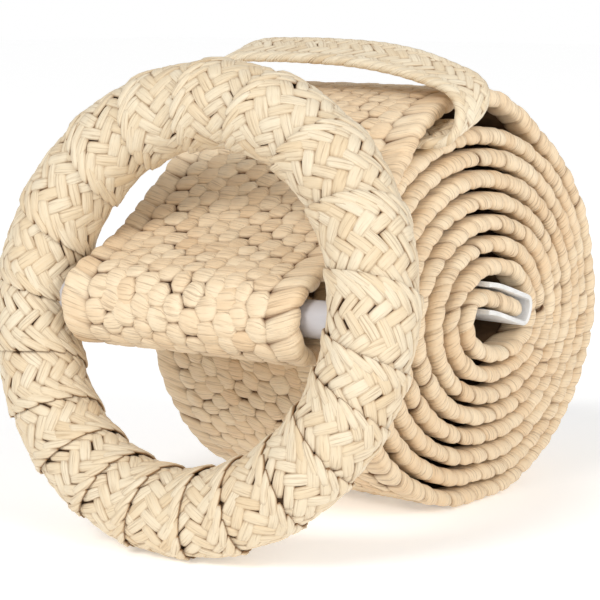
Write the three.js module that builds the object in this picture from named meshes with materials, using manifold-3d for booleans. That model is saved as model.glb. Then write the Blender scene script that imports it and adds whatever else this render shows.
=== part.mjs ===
// Raffia belt, rolled up on a table, with its round raffia-covered slide buckle leaning in front of the coil.
// Millimetres, +Z up. The coil's axis lies along X, the buckle stands on the -Y side, and the strap's woven
// edge with the free end in the coil's middle faces +X. The group is shifted at the end, so that the origin is
// the middle of the belt's own bounding box at table height.

import * as THREE from 'three';
import { mergeVertices } from 'three/addons/utils/BufferGeometryUtils.js';
import Module from 'manifold-3d';

const wasm = await Module();
wasm.setup();

// Driving dimensions
const RUNNING_GAP = 0.3;        // clearance between pieces that touch or are sewn together
const TURN = 2 * Math.PI;

const STRAP = { width: 50, thickness: 3.6, edgeRound: 1.1 };

// The coil is an oval spiral: its half width and half height shrink by one pitch with each turn inward.
const COIL = {
  turns: 7.78,                  // from the top of the outer turn inward to where the loose end straightens
  halfWide: 39.5,
  halfHigh: 37.1,
  pitchSide: 3.88,
  pitchUp: 3.98,
  axisHeight: 36.3,
  pressedGap: 0.25,             // between turns where the coil's weight flattens its underside
  stepOut: 0.7,                 // each turn inward stands this much further out towards +X
  segmentsPerTurn: 36,
};

// The outer turn lifts off the second one where the keeper passes between them. It leaves the roll at leaveTurn.
const LIFT = {
  height: 3.2,
  startTurn: 0.1,
  fullTurn: 0.01,
  easeTurn: -0.08,
  endTurn: -0.14,
  left: 0.6,
  leaveTurn: -0.11,
};

// The stretch from the coil to the bar turns slightly towards +X.
const VEER = { degrees: 8, startAhead: -2, endAhead: 26 };

// Mid-thickness of the strap from the coil down to the fold: ahead is the distance in front of the coil's axis.
const FRONT_STATIONS = [
  { ahead: 29.2, height: 64.8 },
  { ahead: 35.4, height: 59.9 },
  { ahead: 41.6, height: 55.3 },
  { ahead: 47.2, height: 51.9 },
  { ahead: 52.8, height: 49.5 },
];

// The sewn-down end, under the front stretch.
const RETURN_STATIONS = [
  { ahead: 50.2, height: 40.2 },
  { ahead: 47.5, height: 44.6 },
  { ahead: 44.1, height: 48.8 },
  { ahead: 39.9, height: 51.6 },
];

// The loose inner end, in the coil's middle: side is the distance towards +Y from the coil's axis.
const INNER_STATIONS = [
  { side: -7.6, height: 39.6 },
  { side: -5.2, height: 40.2 },
  { side: -2.6, height: 39.85 },
  { side: 0.6, height: 38.9 },
  { side: 3.8, height: 37.8 },
  { side: 6.7, height: 36.8 },
];

// The ring's centre line is a circle round the bar's middle, and it leans back towards the coil.
const RING = {
  radius: 35.1,
  wrapRadius: 7.9,
  wrapThickness: 2.0,
  leanDegrees: 11.5,
  ahead: 56.9,
  height: 42.14,                // of the bar above the table, which puts the ring's lowest edge on it
  sideways: 0.4,                // of its middle from the strap's, which has this much play inside it
  bandTurns: 20,                // times that the plaited band goes round the core
  bandStep: 0.5,                // height of each overlapping edge
  alongSegments: 80,
  roundSegments: 14,
};
const BAR = { radius: 3.2, sides: 20 };
const FOLD = { reach: 5.3, rise: 5.5, drop: 6.6, startDegrees: 22, endDegrees: 217, steps: 16 };

// The keeper's lower run lies further forward than its arch, because the loop leans.
const KEEPER = { width: 11, thickness: 1.7, ahead: 8.2, lowerRunForward: 8.6, extraTiltDegrees: 9, steps: 56 };
// Mid-thickness of the keeper round the strap: across is along the strap's width from its middle, and height
// is measured off the strap's own mid-thickness.
const KEEPER_STATIONS = [
  { across: 0, height: -3.6 },
  { across: 13, height: -3.5 },
  { across: 21.5, height: -3.45 },
  { across: 25.4, height: -3.3 },
  { across: 28.6, height: -2.8 },
  { across: 30.5, height: -1 },
  { across: 29.8, height: 1.4 },
  { across: 26.5, height: 3.5 },
  { across: 21.5, height: 5 },
  { across: 14.5, height: 6.9 },
  { across: 6, height: 8.2 },
  { across: -5, height: 8.8 },
  { across: -16, height: 8.9 },
  { across: -24, height: 8.5 },
  { across: -29, height: 6.7 },
  { across: -31, height: 3.4 },
  { across: -30.4, height: -0.6 },
  { across: -27, height: -3.1 },
  { across: -21.5, height: -3.5 },
  { across: -13, height: -3.5 },
];

const BINDING = { thickness: 0.9, reach: 12, steps: 5 };

const STRAW = 0xe6cda4;
const WRAP_STRAW = 0xeed8b0;
const WHITE = 0xf0ece6;

function smoothStep(from, to, value) {
  const part = Math.min(Math.max((value - from) / (to - from), 0), 1);
  return part * part * (3 - 2 * part);
}

// How far the strap has turned about Z, as the tangent of the angle, at a distance ahead of the coil's axis
function veerSlope(ahead) {
  const full = Math.tan(THREE.MathUtils.degToRad(VEER.degrees));
  return full * smoothStep(VEER.startAhead, VEER.endAhead, ahead);
}

// How far that turn has carried the strap towards +X
function veerDrift(ahead) {
  const steps = 24;
  const length = ahead - VEER.startAhead;
  let drift = 0;
  for (let i = 0; i < steps; i += 1) {
    drift += veerSlope(VEER.startAhead + (length * (i + 0.5)) / steps) * (length / steps);
  }
  return length > 0 ? drift : 0;
}

// A point of the coil's spiral, at a number of turns inward from the top; the side towards +Y comes first
function coilPoint(turn) {
  const angle = turn * TURN;
  const rising = smoothStep(LIFT.startTurn, LIFT.fullTurn, turn);
  const easing = smoothStep(LIFT.easeTurn, LIFT.endTurn, turn);
  const lift = LIFT.height * rising - (LIFT.height - LIFT.left) * easing;
  const halfWide = COIL.halfWide - COIL.pitchSide * turn + lift;
  const halfHigh = COIL.halfHigh - COIL.pitchUp * turn + lift;
  const side = halfWide * Math.sin(angle);
  const height = COIL.axisHeight + halfHigh * Math.cos(angle);
  const turnsBelow = Math.round(turn - 0.5);
  const lowest = STRAP.thickness / 2 + turnsBelow * (STRAP.thickness + COIL.pressedGap);
  return { side, height: Math.max(height, lowest) };
}

// Adds the stretch through the stations to a path, with no step longer than the given one
function addCurve(path, stations, longest, makePoint) {
  const points = stations.map((station) => new THREE.Vector3(station[0], station[1], 0));
  const curve = new THREE.CatmullRomCurve3(points, false, 'centripetal');
  const steps = Math.ceil(curve.getLength() / longest);
  for (let i = 1; i < steps; i += 1) {
    const point = curve.getPointAt(i / steps);
    path.push(makePoint(point.x, point.y));
  }
}

// The strap's mid-thickness line from the sewn end to the loose end, each point with its own width direction
function strapPath() {
  const path = [];
  const inFront = (ahead, height) => {
    const slope = veerSlope(ahead);
    return {
      point: new THREE.Vector3(veerDrift(ahead), -ahead, height),
      across: new THREE.Vector3(1, slope, 0).normalize(),
    };
  };
  const barHeight = barCentre().z;
  const foldPoint = (degrees) => {
    const angle = THREE.MathUtils.degToRad(degrees);
    const reachUp = Math.cos(angle) > 0 ? FOLD.rise : FOLD.drop;
    return [RING.ahead + FOLD.reach * Math.sin(angle), barHeight + reachUp * Math.cos(angle)];
  };
  const sewn = RETURN_STATIONS.map((station) => [station.ahead, station.height]).reverse();
  path.push(inFront(sewn[0][0], sewn[0][1]));
  addCurve(path, [...sewn, foldPoint(FOLD.endDegrees)], 3.2, inFront);
  for (let i = 0; i <= FOLD.steps; i += 1) {
    const degrees = FOLD.endDegrees + ((FOLD.startDegrees - FOLD.endDegrees) * i) / FOLD.steps;
    path.push(inFront(...foldPoint(degrees)));
  }
  const leaving = coilPoint(LIFT.leaveTurn);
  const front = FRONT_STATIONS.map((station) => [station.ahead, station.height]).reverse();
  addCurve(path, [foldPoint(FOLD.startDegrees), ...front, [-leaving.side, leaving.height]], 3.6, inFront);
  const rollStart = path.length;
  const wound = COIL.turns - LIFT.leaveTurn;
  const steps = Math.round(wound * COIL.segmentsPerTurn);
  for (let i = 0; i <= steps; i += 1) {
    const turn = LIFT.leaveTurn + (wound * i) / steps;
    const { side, height } = coilPoint(turn);
    if (turn < 0.25) {
      const start = inFront(-side, height);
      start.point.x += COIL.stepOut * Math.max(turn, 0);
      path.push(start);
    } else {
      path.push(onCoil(side, height, turn));
    }
  }
  const last = coilPoint(COIL.turns);
  const inner = INNER_STATIONS.map((station) => [station.side, station.height]);
  const end = inner[inner.length - 1];
  addCurve(path, [[last.side, last.height], ...inner], 1.8, (side, height) => onCoil(side, height, COIL.turns));
  path.push(onCoil(end[0], end[1], COIL.turns));
  return { path, rollStart };
}

function onCoil(side, height, turn) {
  return {
    point: new THREE.Vector3(COIL.stepOut * turn, side, height),
    across: new THREE.Vector3(1, 0, 0),
  };
}

function barCentre() {
  return new THREE.Vector3(veerDrift(RING.ahead) + RING.sideways, -RING.ahead, RING.height);
}

// A flat band's cross-section with its long edges rounded off, as [across, through] pairs
function bandSection(width, thickness, round) {
  const w = width / 2;
  const t = thickness / 2;
  const side = t - Math.min(round, t * 0.62);
  return [
    [w, -side], [w, side], [w - round, t], [-w + round, t],
    [-w, side], [-w, -side], [-w + round, -t], [w - round, -t],
  ];
}

// Direction from the neighbour before to the neighbour after
function tangentAt(path, index, closed) {
  const count = path.length;
  const before = closed ? (index + count - 1) % count : Math.max(index - 1, 0);
  const after = closed ? (index + 1) % count : Math.min(index + 1, count - 1);
  return path[after].point.clone().sub(path[before].point).normalize();
}

// Joins copies of a section placed along a path into one closed solid
function sweep(path, section, closed = false) {
  const positions = [];
  const index = [];
  const ring = section.length;
  path.forEach((station, i) => {
    const along = tangentAt(path, i, closed);
    const through = along.clone().cross(station.across).normalize();
    section.forEach(([a, t]) => {
      const corner = station.point.clone().addScaledVector(station.across, a).addScaledVector(through, t);
      positions.push(corner.x, corner.y, corner.z);
    });
  });
  const spans = closed ? path.length : path.length - 1;
  for (let i = 0; i < spans; i += 1) {
    const here = i * ring;
    const next = ((i + 1) % path.length) * ring;
    for (let j = 0; j < ring; j += 1) {
      const k = (j + 1) % ring;
      index.push(here + j, here + k, next + k, here + j, next + k, next + j);
    }
  }
  if (!closed) {
    const last = (path.length - 1) * ring;
    for (let j = 1; j < ring - 1; j += 1) {
      index.push(0, j + 1, j, last, last + j, last + j + 1);
    }
  }
  const geometry = new THREE.BufferGeometry();
  geometry.setAttribute('position', new THREE.Float32BufferAttribute(positions, 3));
  geometry.setIndex(index);
  return outward(geometry);
}

// Turns the faces round where a sweep came out inside out
function outward(geometry) {
  const position = geometry.getAttribute('position');
  const index = geometry.getIndex();
  const [a, b, c] = [new THREE.Vector3(), new THREE.Vector3(), new THREE.Vector3()];
  let volume = 0;
  for (let i = 0; i < index.count; i += 3) {
    a.fromBufferAttribute(position, index.getX(i));
    b.fromBufferAttribute(position, index.getX(i + 1));
    c.fromBufferAttribute(position, index.getX(i + 2));
    volume += a.dot(b.cross(c));
  }
  if (volume < 0) {
    for (let i = 0; i < index.count; i += 3) {
      const second = index.getX(i + 1);
      index.setX(i + 1, index.getX(i + 2));
      index.setX(i + 2, second);
    }
  }
  return geometry;
}

function toSolid(geometry) {
  const bare = geometry.clone();
  bare.deleteAttribute('normal');
  bare.deleteAttribute('uv');
  const merged = mergeVertices(bare, 1e-4);
  return new wasm.Manifold(new wasm.Mesh({
    numProp: 3,
    vertProperties: Float32Array.from(merged.getAttribute('position').array),
    triVerts: Uint32Array.from(merged.getIndex().array),
  }));
}

function toGeometry(solid) {
  const mesh = solid.getMesh();
  const geometry = new THREE.BufferGeometry();
  geometry.setAttribute('position', new THREE.Float32BufferAttribute(mesh.vertProperties, 3));
  geometry.setIndex(new THREE.Uint32BufferAttribute(mesh.triVerts, 1));
  return geometry;
}

// Places a shape made round the origin, ring flat in XY with the bar along X, where the leaning ring stands
function placeOnRing(geometry) {
  const lean = THREE.MathUtils.degToRad(RING.leanDegrees);
  geometry.rotateX(Math.PI / 2 - lean);
  geometry.rotateZ(Math.atan(veerSlope(RING.ahead)));
  const centre = barCentre();
  geometry.translate(centre.x, centre.y, centre.z);
  return geometry;
}

function cylinderAlongX(radius, length, sides) {
  const geometry = new THREE.CylinderGeometry(radius, radius, length, sides);
  geometry.rotateZ(Math.PI / 2);
  return geometry;
}

// The plain ring with its centre bar
function buckleFrame() {
  const tube = RING.wrapRadius - RING.wrapThickness - RING.bandStep / 2 - RUNNING_GAP;
  const ring = toSolid(new THREE.TorusGeometry(RING.radius, tube, 10, 44));
  const bar = toSolid(cylinderAlongX(BAR.radius, 2 * RING.radius, BAR.sides));
  return placeOnRing(toGeometry(ring.add(bar)));
}

// The wound band: its surface rises to each finished edge, which lies over the next turn of the band, and the
// edges run round the tube as a helix
function buckleWrap() {
  const outer = new THREE.TorusGeometry(
    RING.radius, RING.wrapRadius, RING.roundSegments, RING.alongSegments);
  const position = outer.getAttribute('position');
  for (let i = 0; i < position.count; i += 1) {
    const x = position.getX(i);
    const y = position.getY(i);
    const z = position.getZ(i);
    const along = Math.atan2(y, x) / TURN;
    const out = Math.hypot(x, y) - RING.radius;
    const round = Math.atan2(z, out) / TURN;
    const turns = along * RING.bandTurns - round + 2;
    const withinBand = turns - Math.floor(turns + 1e-6);
    const scale = 1 + (RING.bandStep * (withinBand - 0.5)) / RING.wrapRadius;
    const reach = RING.radius + out * scale;
    position.setXYZ(i, Math.cos(along * TURN) * reach, Math.sin(along * TURN) * reach, z * scale);
  }
  const hollowTube = RING.wrapRadius - RING.wrapThickness - RING.bandStep / 2;
  const hollow = toSolid(new THREE.TorusGeometry(RING.radius, hollowTube, 10, 44));
  const barHole = toSolid(cylinderAlongX(BAR.radius + RUNNING_GAP, 2 * RING.radius, BAR.sides));
  return placeOnRing(toGeometry(toSolid(outer).subtract(hollow).subtract(barHole)));
}

// Where the strap's outer turn lies at a distance ahead of the coil's axis: its point and its three directions
function seatAt(strap, ahead) {
  const onTop = strap.findIndex((station, i) => {
    const before = strap[Math.max(i - 1, 0)].point.y;
    return station.point.z > COIL.axisHeight * 1.5 && before < -ahead && station.point.y >= -ahead;
  });
  const [from, to] = [strap[onTop - 1], strap[onTop]];
  const part = (-ahead - from.point.y) / (to.point.y - from.point.y);
  const point = from.point.clone().lerp(to.point, part);
  const across = from.across.clone().lerp(to.across, part).normalize();
  const before = tangentAt(strap, onTop - 1, false);
  const forward = before.lerp(tangentAt(strap, onTop, false), part).normalize().negate();
  const normal = forward.clone().cross(across).normalize();
  return { point, across, forward, normal: normal.z < 0 ? normal.negate() : normal };
}

// The keeper's loop round the strap, with its arch tilted forward
function keeper(strap) {
  const points = KEEPER_STATIONS.map((station) => new THREE.Vector3(station.across, station.height, 0));
  const curve = new THREE.CatmullRomCurve3(points, true, 'centripetal');
  const top = Math.max(...KEEPER_STATIONS.map((station) => station.height));
  const bottom = Math.min(...KEEPER_STATIONS.map((station) => station.height));
  const path = [];
  for (let i = 0; i < KEEPER.steps; i += 1) {
    const at = curve.getPointAt(i / KEEPER.steps);
    const forward = KEEPER.lowerRunForward * (1 - smoothStep(bottom, top * 0.6, at.y));
    const seat = seatAt(strap, KEEPER.ahead + forward);
    const tilt = THREE.MathUtils.degToRad(KEEPER.extraTiltDegrees) * smoothStep(2, top, at.y);
    path.push({
      point: seat.point.clone().addScaledVector(seat.across, at.x).addScaledVector(seat.normal, at.y),
      across: seat.forward.clone().applyAxisAngle(seat.across, tilt),
    });
  }
  return sweep(path, bandSection(KEEPER.width, KEEPER.thickness, 0.5), true);
}

// The tape folded over the strap's loose end: up one face, round the end and back on the other face
function endBinding(strap) {
  const last = strap.length - 1;
  const offset = STRAP.thickness / 2 + RUNNING_GAP + BINDING.thickness / 2;
  const faceUp = [];
  const faceDown = [];
  let run = 0;
  for (let i = last; i > 0 && run < BINDING.reach; i -= 1) {
    const along = tangentAt(strap, i, false);
    const through = along.clone().cross(strap[i].across).normalize();
    faceUp.unshift(strap[i].point.clone().addScaledVector(through, offset));
    faceDown.unshift(strap[i].point.clone().addScaledVector(through, -offset));
    run += strap[i].point.distanceTo(strap[i - 1].point);
  }
  const endWay = tangentAt(strap, last, false);
  const endThrough = endWay.clone().cross(strap[last].across).normalize();
  const nose = [];
  const reach = RUNNING_GAP + BINDING.thickness / 2;
  for (let i = 1; i < 2 * BINDING.steps; i += 1) {
    const angle = Math.PI / 2 - (Math.PI * i) / (2 * BINDING.steps);
    const squared = Math.sign(Math.sin(angle)) * Math.abs(Math.sin(angle)) ** 0.45;
    nose.push(strap[last].point.clone()
      .addScaledVector(endWay, reach * Math.abs(Math.cos(angle)) ** 0.45)
      .addScaledVector(endThrough, offset * squared));
  }
  const across = strap[last].across;
  const points = [...faceUp, ...nose, ...faceDown.reverse()];
  const path = points.map((point) => ({ point, across }));
  return sweep(path, bandSection(STRAP.width + 0.4, BINDING.thickness, 0.3));
}

function piece(name, geometry, colour, roughness) {
  const material = new THREE.MeshStandardMaterial({ color: colour, roughness, metalness: 0 });
  const mesh = new THREE.Mesh(geometry, material);
  mesh.name = name;
  return mesh;
}

// The strap is one woven band. Its solid is parted where it leaves the roll, with a hair's gap, so that the
// roll and the stretch that spans to the bar are two simple shapes with the real opening between them.
const { path: strapLine, rollStart } = strapPath();
const strapSection = bandSection(STRAP.width, STRAP.thickness, STRAP.edgeRound);
const [lastInFront, firstOnRoll] = [strapLine[rollStart - 1], strapLine[rollStart]];
const reach = lastInFront.point.distanceTo(firstOnRoll.point);
const meeting = {
  point: firstOnRoll.point.clone().lerp(lastInFront.point, RUNNING_GAP / reach),
  across: firstOnRoll.across,
};
const belt = new THREE.Group();
belt.add(piece('strap', sweep(strapLine.slice(rollStart), strapSection), STRAW, 0.75));
belt.add(piece('strap_front', sweep([...strapLine.slice(0, rollStart), meeting], strapSection), STRAW, 0.75));
belt.add(piece('buckle_frame', buckleFrame(), WHITE, 0.4));
belt.add(piece('buckle_wrap', buckleWrap(), WRAP_STRAW, 0.7));
belt.add(piece('keeper', keeper(strapLine), WRAP_STRAW, 0.7));
belt.add(piece('end_binding', endBinding(strapLine), WHITE, 0.85));

const box = new THREE.Box3().setFromObject(belt);
belt.position.set(-(box.min.x + box.max.x) / 2, -(box.min.y + box.max.y) / 2, -box.min.z);
belt.updateMatrixWorld(true);

export default belt;
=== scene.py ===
import math

import bpy
import numpy as np
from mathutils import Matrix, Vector


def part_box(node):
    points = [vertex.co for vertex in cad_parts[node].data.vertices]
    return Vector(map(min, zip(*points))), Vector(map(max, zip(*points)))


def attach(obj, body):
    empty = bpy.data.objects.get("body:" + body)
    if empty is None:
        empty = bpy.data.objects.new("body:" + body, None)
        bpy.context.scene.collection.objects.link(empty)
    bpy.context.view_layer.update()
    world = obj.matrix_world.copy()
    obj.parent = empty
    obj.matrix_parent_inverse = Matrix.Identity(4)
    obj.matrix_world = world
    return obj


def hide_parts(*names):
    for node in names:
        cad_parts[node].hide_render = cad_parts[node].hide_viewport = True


# A raffia belt, rolled up on a table, with its round raffia-covered slide buckle and its plaited keeper.
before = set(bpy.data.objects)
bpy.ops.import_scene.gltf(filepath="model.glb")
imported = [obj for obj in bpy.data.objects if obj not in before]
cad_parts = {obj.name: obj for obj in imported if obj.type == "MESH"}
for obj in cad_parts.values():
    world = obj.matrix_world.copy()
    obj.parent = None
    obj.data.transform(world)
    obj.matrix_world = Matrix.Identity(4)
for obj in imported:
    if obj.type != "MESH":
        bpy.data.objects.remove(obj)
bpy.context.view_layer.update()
bpy.ops.object.select_all(action="DESELECT")

# Strap: the thick core of the woven raffia band. It runs from the sewn end round the bar, up to the roll and
# inward through the roll's turns to the loose end. The weave lies on it as separate strands.
MM = 0.001
STRAP_WIDTH = 50.0
STRAP_HALF_THICK = 1.8
STRAP_STEP = 0.5
CORE_INSET = 1.15
CORE_EDGE_INSET = 1.2
CORE_SIDES = 16
CORE_STEP = 1.6
CORE_CORNERS_ACROSS = 0.3
CORE_CORNERS_THROUGH = 0.5
COIL_TURNS = 7.78
COIL_HALF_WIDE = 39.5
COIL_HALF_HIGH = 37.1
COIL_PITCH_SIDE = 3.88
COIL_PITCH_UP = 3.98
COIL_AXIS_HEIGHT = 36.3
COIL_PRESSED_GAP = 0.25
COIL_STEP_OUT = 0.7
LIFT_HEIGHT = 3.2
LIFT_LEFT = 0.6
# between which turns the band lifts off the roll, and eases back
LIFT_TURNS = (0.1, 0.01)
LIFT_BACK_TURNS = (-0.08, -0.14)
LEAVE_TURN = -0.11
FRONT_TURN = 0.25
VEER_DEGREES = 8.0
VEER_START = -2.0
VEER_END = 26.0
BAR_AHEAD = 56.9
BAR_HEIGHT = 42.14
BAR_SIDEWAYS = 0.4
# ahead of the roll's axis, height
FRONT_STATIONS = [(52.8, 49.5), (47.2, 51.9), (41.6, 55.3), (35.4, 59.9), (29.2, 64.8)]
SEWN_STATIONS = [(39.9, 51.6), (44.1, 48.8), (47.5, 44.6), (50.2, 40.2)]
# side of the roll's axis, height
LOOSE_STATIONS = [(-7.6, 39.6), (-5.2, 40.2), (-2.6, 39.85), (0.6, 38.9), (3.8, 37.8), (6.7, 36.8)]
FOLD_REACH = 5.3
FOLD_RISE = 5.5
FOLD_DROP = 6.6
FOLD_FROM_DEGREES = 217.0
FOLD_TO_DEGREES = 22.0
FOLD_STEPS = 60
COIL_STEPS = 2400


def ease(start, end, value):
    """A soft step from 0 to 1 between start and end."""
    part = np.clip((value - start) / (end - start), 0, 1)
    return part * part * (3 - 2 * part)


def veer_slope(ahead):
    return math.tan(math.radians(VEER_DEGREES)) * ease(VEER_START, VEER_END, ahead)


def veer_drift(ahead):
    """How far the turned front stretch has moved sideways: the integral of its slope."""
    span = VEER_END - VEER_START
    part = np.clip((ahead - VEER_START) / span, 0, 1)
    beyond = np.maximum(ahead - VEER_END, 0)
    return math.tan(math.radians(VEER_DEGREES)) * (span * (part**3 - part**4 / 2) + beyond)


def coil_point(turn):
    """Side and height of the roll's spiral, at a number of turns inward from the top."""
    rising = ease(*LIFT_TURNS, turn)
    easing = ease(*LIFT_BACK_TURNS, turn)
    lift = LIFT_HEIGHT * rising - (LIFT_HEIGHT - LIFT_LEFT) * easing
    side = (COIL_HALF_WIDE - COIL_PITCH_SIDE * turn + lift) * np.sin(turn * 2 * math.pi)
    height = COIL_AXIS_HEIGHT + (COIL_HALF_HIGH - COIL_PITCH_UP * turn + lift) * np.cos(turn * 2 * math.pi)
    turns_below = np.round(turn - 0.5)
    lowest = STRAP_HALF_THICK + turns_below * (2 * STRAP_HALF_THICK + COIL_PRESSED_GAP)
    return side, np.maximum(height, lowest)


def curve_through(stations, samples=40, closed=False):
    """A centripetal Catmull-Rom curve through the stations."""
    points = np.array(stations, float)
    if closed:
        points = np.concatenate([points[-1:], points, points[:2]])
    else:
        points = np.concatenate([[2 * points[0] - points[1]], points, [2 * points[-1] - points[-2]]])
    made = []
    for before, a, b, after in zip(points[:-3], points[1:-2], points[2:-1], points[3:]):
        gaps = [max(np.linalg.norm(q - p) ** 0.5, 1e-6) for p, q in ((before, a), (a, b), (b, after))]
        leave = ((a - before) / gaps[0] - (b - before) / (gaps[0] + gaps[1]) + (b - a) / gaps[1]) * gaps[1]
        arrive = ((b - a) / gaps[1] - (after - a) / (gaps[1] + gaps[2]) + (after - b) / gaps[2]) * gaps[1]
        t = np.linspace(0, 1, samples, endpoint=False)[:, None]
        made.append(
            (2 * t**3 - 3 * t**2 + 1) * a + (t**3 - 2 * t**2 + t) * leave
            + (3 * t**2 - 2 * t**3) * b + (t**3 - t**2) * arrive
        )
    if not closed:
        made.append(points[-2:-1])
    return np.concatenate(made)


def fold_point(degrees):
    """How far ahead and how high the fold's mid-thickness is, at an angle round the bar."""
    angle = np.radians(degrees)
    reach_up = np.where(np.cos(angle) > 0, FOLD_RISE, FOLD_DROP)
    return np.stack([BAR_AHEAD + FOLD_REACH * np.sin(angle), BAR_HEIGHT + reach_up * np.cos(angle)], -1)


def unit(directions):
    return directions / np.linalg.norm(directions, axis=1)[:, None]


def in_front(ahead, height, turn=0.0):
    """Points and width directions of the stretch that turns slightly as it leaves the roll."""
    across = np.stack([np.ones_like(ahead), veer_slope(ahead), np.zeros_like(ahead)], -1)
    sideways = veer_drift(ahead) + COIL_STEP_OUT * np.maximum(turn, 0)
    return np.stack([sideways, -ahead, height], -1), unit(across)


def strap_route():
    """Mid-thickness points of the strap, the width direction at each, and the turn of the roll there."""
    fold = fold_point(np.linspace(FOLD_FROM_DEGREES, FOLD_TO_DEGREES, FOLD_STEPS))
    sewn = curve_through([*SEWN_STATIONS, fold[0]])
    leave_side, leave_height = coil_point(np.array(LEAVE_TURN))
    front = curve_through([fold[-1], *FRONT_STATIONS, (-leave_side, leave_height)])
    before_roll = np.concatenate([sewn[:-1], fold[:-1], front[:-1]])
    points, across = in_front(before_roll[:, 0], before_roll[:, 1])
    turn = np.linspace(LEAVE_TURN, COIL_TURNS, COIL_STEPS)
    side, height = coil_point(turn)
    start = turn < FRONT_TURN
    first = in_front(-side[start], height[start], turn[start])
    rest = np.stack([COIL_STEP_OUT * turn[~start], side[~start], height[~start]], -1)
    loose = curve_through([(side[-1], height[-1]), *LOOSE_STATIONS])[1:]
    end = np.stack([np.full(len(loose), COIL_STEP_OUT * COIL_TURNS), loose[:, 0], loose[:, 1]], -1)
    flat = np.tile([1.0, 0, 0], (len(rest) + len(end), 1))
    turns = [np.full(len(points), LEAVE_TURN - 1), turn, np.full(len(loose), COIL_TURNS + 1)]
    all_points = np.concatenate([points, first[0], rest, end])
    return all_points, np.concatenate([across, first[1], flat]), np.concatenate(turns)


# The bar's middle ties the route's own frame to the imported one
low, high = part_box("buckle_frame")
bar_middle = (np.array(low) + np.array(high)) / 2 / MM
route_middle = np.array([veer_drift(BAR_AHEAD) + BAR_SIDEWAYS, -BAR_AHEAD, BAR_HEIGHT])
to_frame = bar_middle - route_middle

route_points, route_across, route_turns = strap_route()
route_points = route_points + to_frame


def run_along(points):
    """How far along a line each of its points is."""
    return np.concatenate([[0], np.cumsum(np.linalg.norm(np.diff(points, axis=0), axis=1))])


run = run_along(route_points)
strap_length = run[-1]
strap_run = np.linspace(0, strap_length, int(strap_length / STRAP_STEP))


def along_route(values):
    """Values given at the route's points, read at even steps along it."""
    return np.stack([np.interp(strap_run, run, column) for column in values.T], -1)


def smoothed(values, reach=3):
    """A running mean, which rounds the corners of a line."""
    wide = np.concatenate([values[:1]] * reach + [values] + [values[-1:]] * reach)
    return sum(wide[i:i + len(values)] for i in range(2 * reach + 1)) / (2 * reach + 1)


strap_points = smoothed(along_route(route_points))
strap_points[[0, -1]] = route_points[[0, -1]]
strap_along = unit(smoothed(np.gradient(strap_points, axis=0)))
strap_across = along_route(route_across)
strap_out = unit(np.cross(strap_across, strap_along))


def beside_line(at, line_run, line, wide, out, across, off):
    """Points at a run along a line, and from there across it and out from it."""
    made = np.zeros((*np.shape(at), 3))
    for axis in range(3):
        made[..., axis] = (
            np.interp(at, line_run, line[:, axis])
            + across * np.interp(at, line_run, wide[:, axis])
            + off * np.interp(at, line_run, out[:, axis])
        )
    return made


def on_strap(s, u, n):
    """Points at a run along the strap, across from its middle, and out from its mid-thickness."""
    return beside_line(s, strap_run, strap_points, strap_across, strap_out, u, n)


def run_at_turn(turn):
    """How far along the strap a turn of the roll is."""
    on_roll = (route_turns >= LEAVE_TURN) & (route_turns <= COIL_TURNS)
    return float(np.interp(turn, route_turns[on_roll], run[on_roll]))


def add_mesh(name, points, faces, marks=None, fibre=None):
    """A smooth mesh object from points in millimetres, with marks and fibre directions for its material."""
    points = np.asarray(points, float).reshape(-1, 3)
    corners = [(f[:, 0], f[:, i], f[:, i + 1]) for f in faces for i in range(1, f.shape[1] - 1)]
    volume = sum(np.einsum("ij,ij->", points[a], np.cross(points[b], points[c])) for a, b, c in corners)
    if volume < 0:
        faces = [f[:, ::-1] for f in faces]
    mesh = bpy.data.meshes.new(name)
    mesh.vertices.add(len(points))
    mesh.vertices.foreach_set("co", (points * MM).astype(np.float32).ravel())
    loops = np.concatenate([f.ravel() for f in faces])
    counts = np.concatenate([np.full(len(f), f.shape[1]) for f in faces])
    mesh.loops.add(len(loops))
    mesh.loops.foreach_set("vertex_index", loops.astype(np.int32))
    mesh.polygons.add(len(counts))
    mesh.polygons.foreach_set("loop_start", (np.cumsum(counts) - counts).astype(np.int32))
    mesh.polygons.foreach_set("use_smooth", np.ones(len(counts), bool))
    mesh.update(calc_edges=True)
    mesh.validate()
    if fibre is not None:
        layer = mesh.uv_layers.new(name="fibre")
        layer.data.foreach_set("uv", np.asarray(fibre).reshape(-1, 2)[loops].astype(np.float32).ravel())
    for mark, values in (marks or {}).items():
        attribute = mesh.attributes.new(mark, "FLOAT", "POINT")
        attribute.data.foreach_set("value", np.asarray(values).astype(np.float32).ravel())
    made = bpy.data.objects.new(name, mesh)
    bpy.context.collection.objects.link(made)
    return made


def swept_faces(stations, sides, closed):
    """Quads between neighbouring sections of a sweep, with a cap at both ends where it is open."""
    spans = stations if closed else stations - 1
    i, j = np.meshgrid(np.arange(spans), np.arange(sides), indexing="ij")
    k, m = (j + 1) % sides, (i + 1) % stations
    faces = [np.stack([i * sides + j, i * sides + k, m * sides + k, m * sides + j], -1).reshape(-1, 4)]
    if not closed:
        first = np.arange(sides)
        faces.append(np.stack([first[::-1], first + (stations - 1) * sides]))
    return faces


core_half_width = STRAP_WIDTH / 2 - CORE_EDGE_INSET
core_half_thick = STRAP_HALF_THICK - CORE_INSET
core_angles = np.linspace(0, 2 * math.pi, CORE_SIDES, endpoint=False) + math.pi / CORE_SIDES


def rounded(values, power):
    """Sines or cosines pressed towards 1, which turns a circle into a rounded rectangle."""
    return np.sign(values) * np.abs(values) ** power


def section_places(along, across, through):
    """The places of a section's points at each of a row of places along a line."""
    return along[:, None] + 0 * across, across + 0 * along[:, None], through + 0 * along[:, None]


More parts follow.
